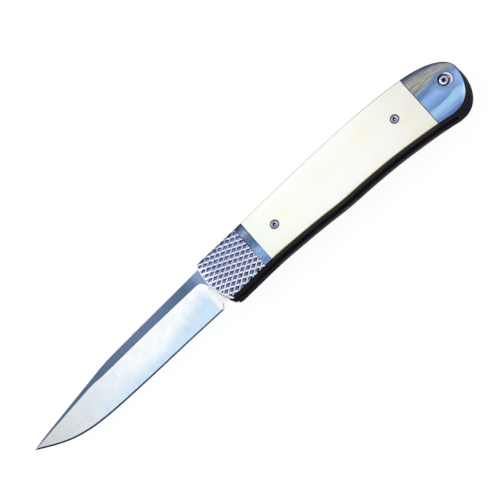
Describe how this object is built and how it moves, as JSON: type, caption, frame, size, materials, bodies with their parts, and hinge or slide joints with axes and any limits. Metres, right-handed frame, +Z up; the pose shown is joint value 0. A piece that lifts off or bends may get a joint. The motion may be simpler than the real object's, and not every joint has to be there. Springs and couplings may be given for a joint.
{
  "type": "folding pocket knife",
  "caption": "Open folding pocket knife with a drop-point blade, smooth pale scales, polished end caps and a knurled sliding bolster that releases the sprung blade.",
  "frame": {"origin": "below the middle of the open knife's length and width, on the surface it lies on", "axes": "+X from the blade's tip to the butt, +Y from the belly to the spine, +Z up out of the front face"},
  "size_m": [0.1826, 0.0224, 0.0124],
  "materials": {
    "blade_steel": "satin ground tool steel, lengthwise flat and cross-brushed hollow",
    "bolster_steel": "polished stainless steel, knurled in front",
    "bone": "smooth polished white bone",
    "liner_steel": "dark oxide over steel, satin",
    "screw_steel": "bright machined steel",
    "spring_steel": "blued spring steel, plain",
    "bronze": "satin phosphor bronze"
  },
  "bodies": {
    "handle": {"front_collar": "bolster_steel", "front_collar_screw_1": "screw_steel", "front_collar_screw_2": "screw_steel", "front_scale": "bone", "front_scale_screw_1": "screw_steel", "front_scale_screw_2": "screw_steel", "front_end_cap": "bolster_steel", "front_end_cap_screw": "screw_steel", "front_end_cap_pin_1": "screw_steel", "front_end_cap_pin_2": "screw_steel", "front_liner": "liner_steel", "back_liner": "liner_steel", "back_bolster": "bolster_steel", "back_bolster_screw_1": "screw_steel", "back_bolster_screw_2": "screw_steel", "back_scale": "bone", "back_scale_screw_1": "screw_steel", "back_scale_screw_2": "screw_steel", "back_end_cap": "bolster_steel", "back_end_cap_screw": "screw_steel", "back_end_cap_pin_1": "screw_steel", "back_end_cap_pin_2": "screw_steel", "backspacer": "liner_steel", "backspacer_pin_1": "screw_steel", "backspacer_pin_2": "screw_steel", "pivot_barrel": "screw_steel", "pivot_screw": "screw_steel", "front_washer": "bronze", "back_washer": "bronze", "stop_pin": "screw_steel", "opening_spring": "spring_steel", "lock_spring": "spring_steel", "lock_spring_screw": "screw_steel"},
    "blade": {"blade": "blade_steel"},
    "release_bolster": {"release_bolster": "bolster_steel", "release_guide_stud_1": "screw_steel", "release_guide_stud_2": "screw_steel"}
  },
  "joints": [
    {"name": "blade_fold", "type": "hinge", "parent": "handle", "child": "blade", "pos_m": [-0.00625, 0.0003, 0.0062], "axis": [0, 0, 1], "range_deg": [0, 180], "stiffness_Nm_per_rad": 0.03, "springref_deg": -57.3, "deforming": ["opening_spring", "lock_spring"]},
    {"name": "bolster_release", "type": "slide", "parent": "handle", "child": "release_bolster", "axis": [-1, 0, 0], "range_m": [0, 0.0016], "stiffness_N_per_m": 600, "springref_m": -0.004, "deforming": ["lock_spring"]}
  ]
}
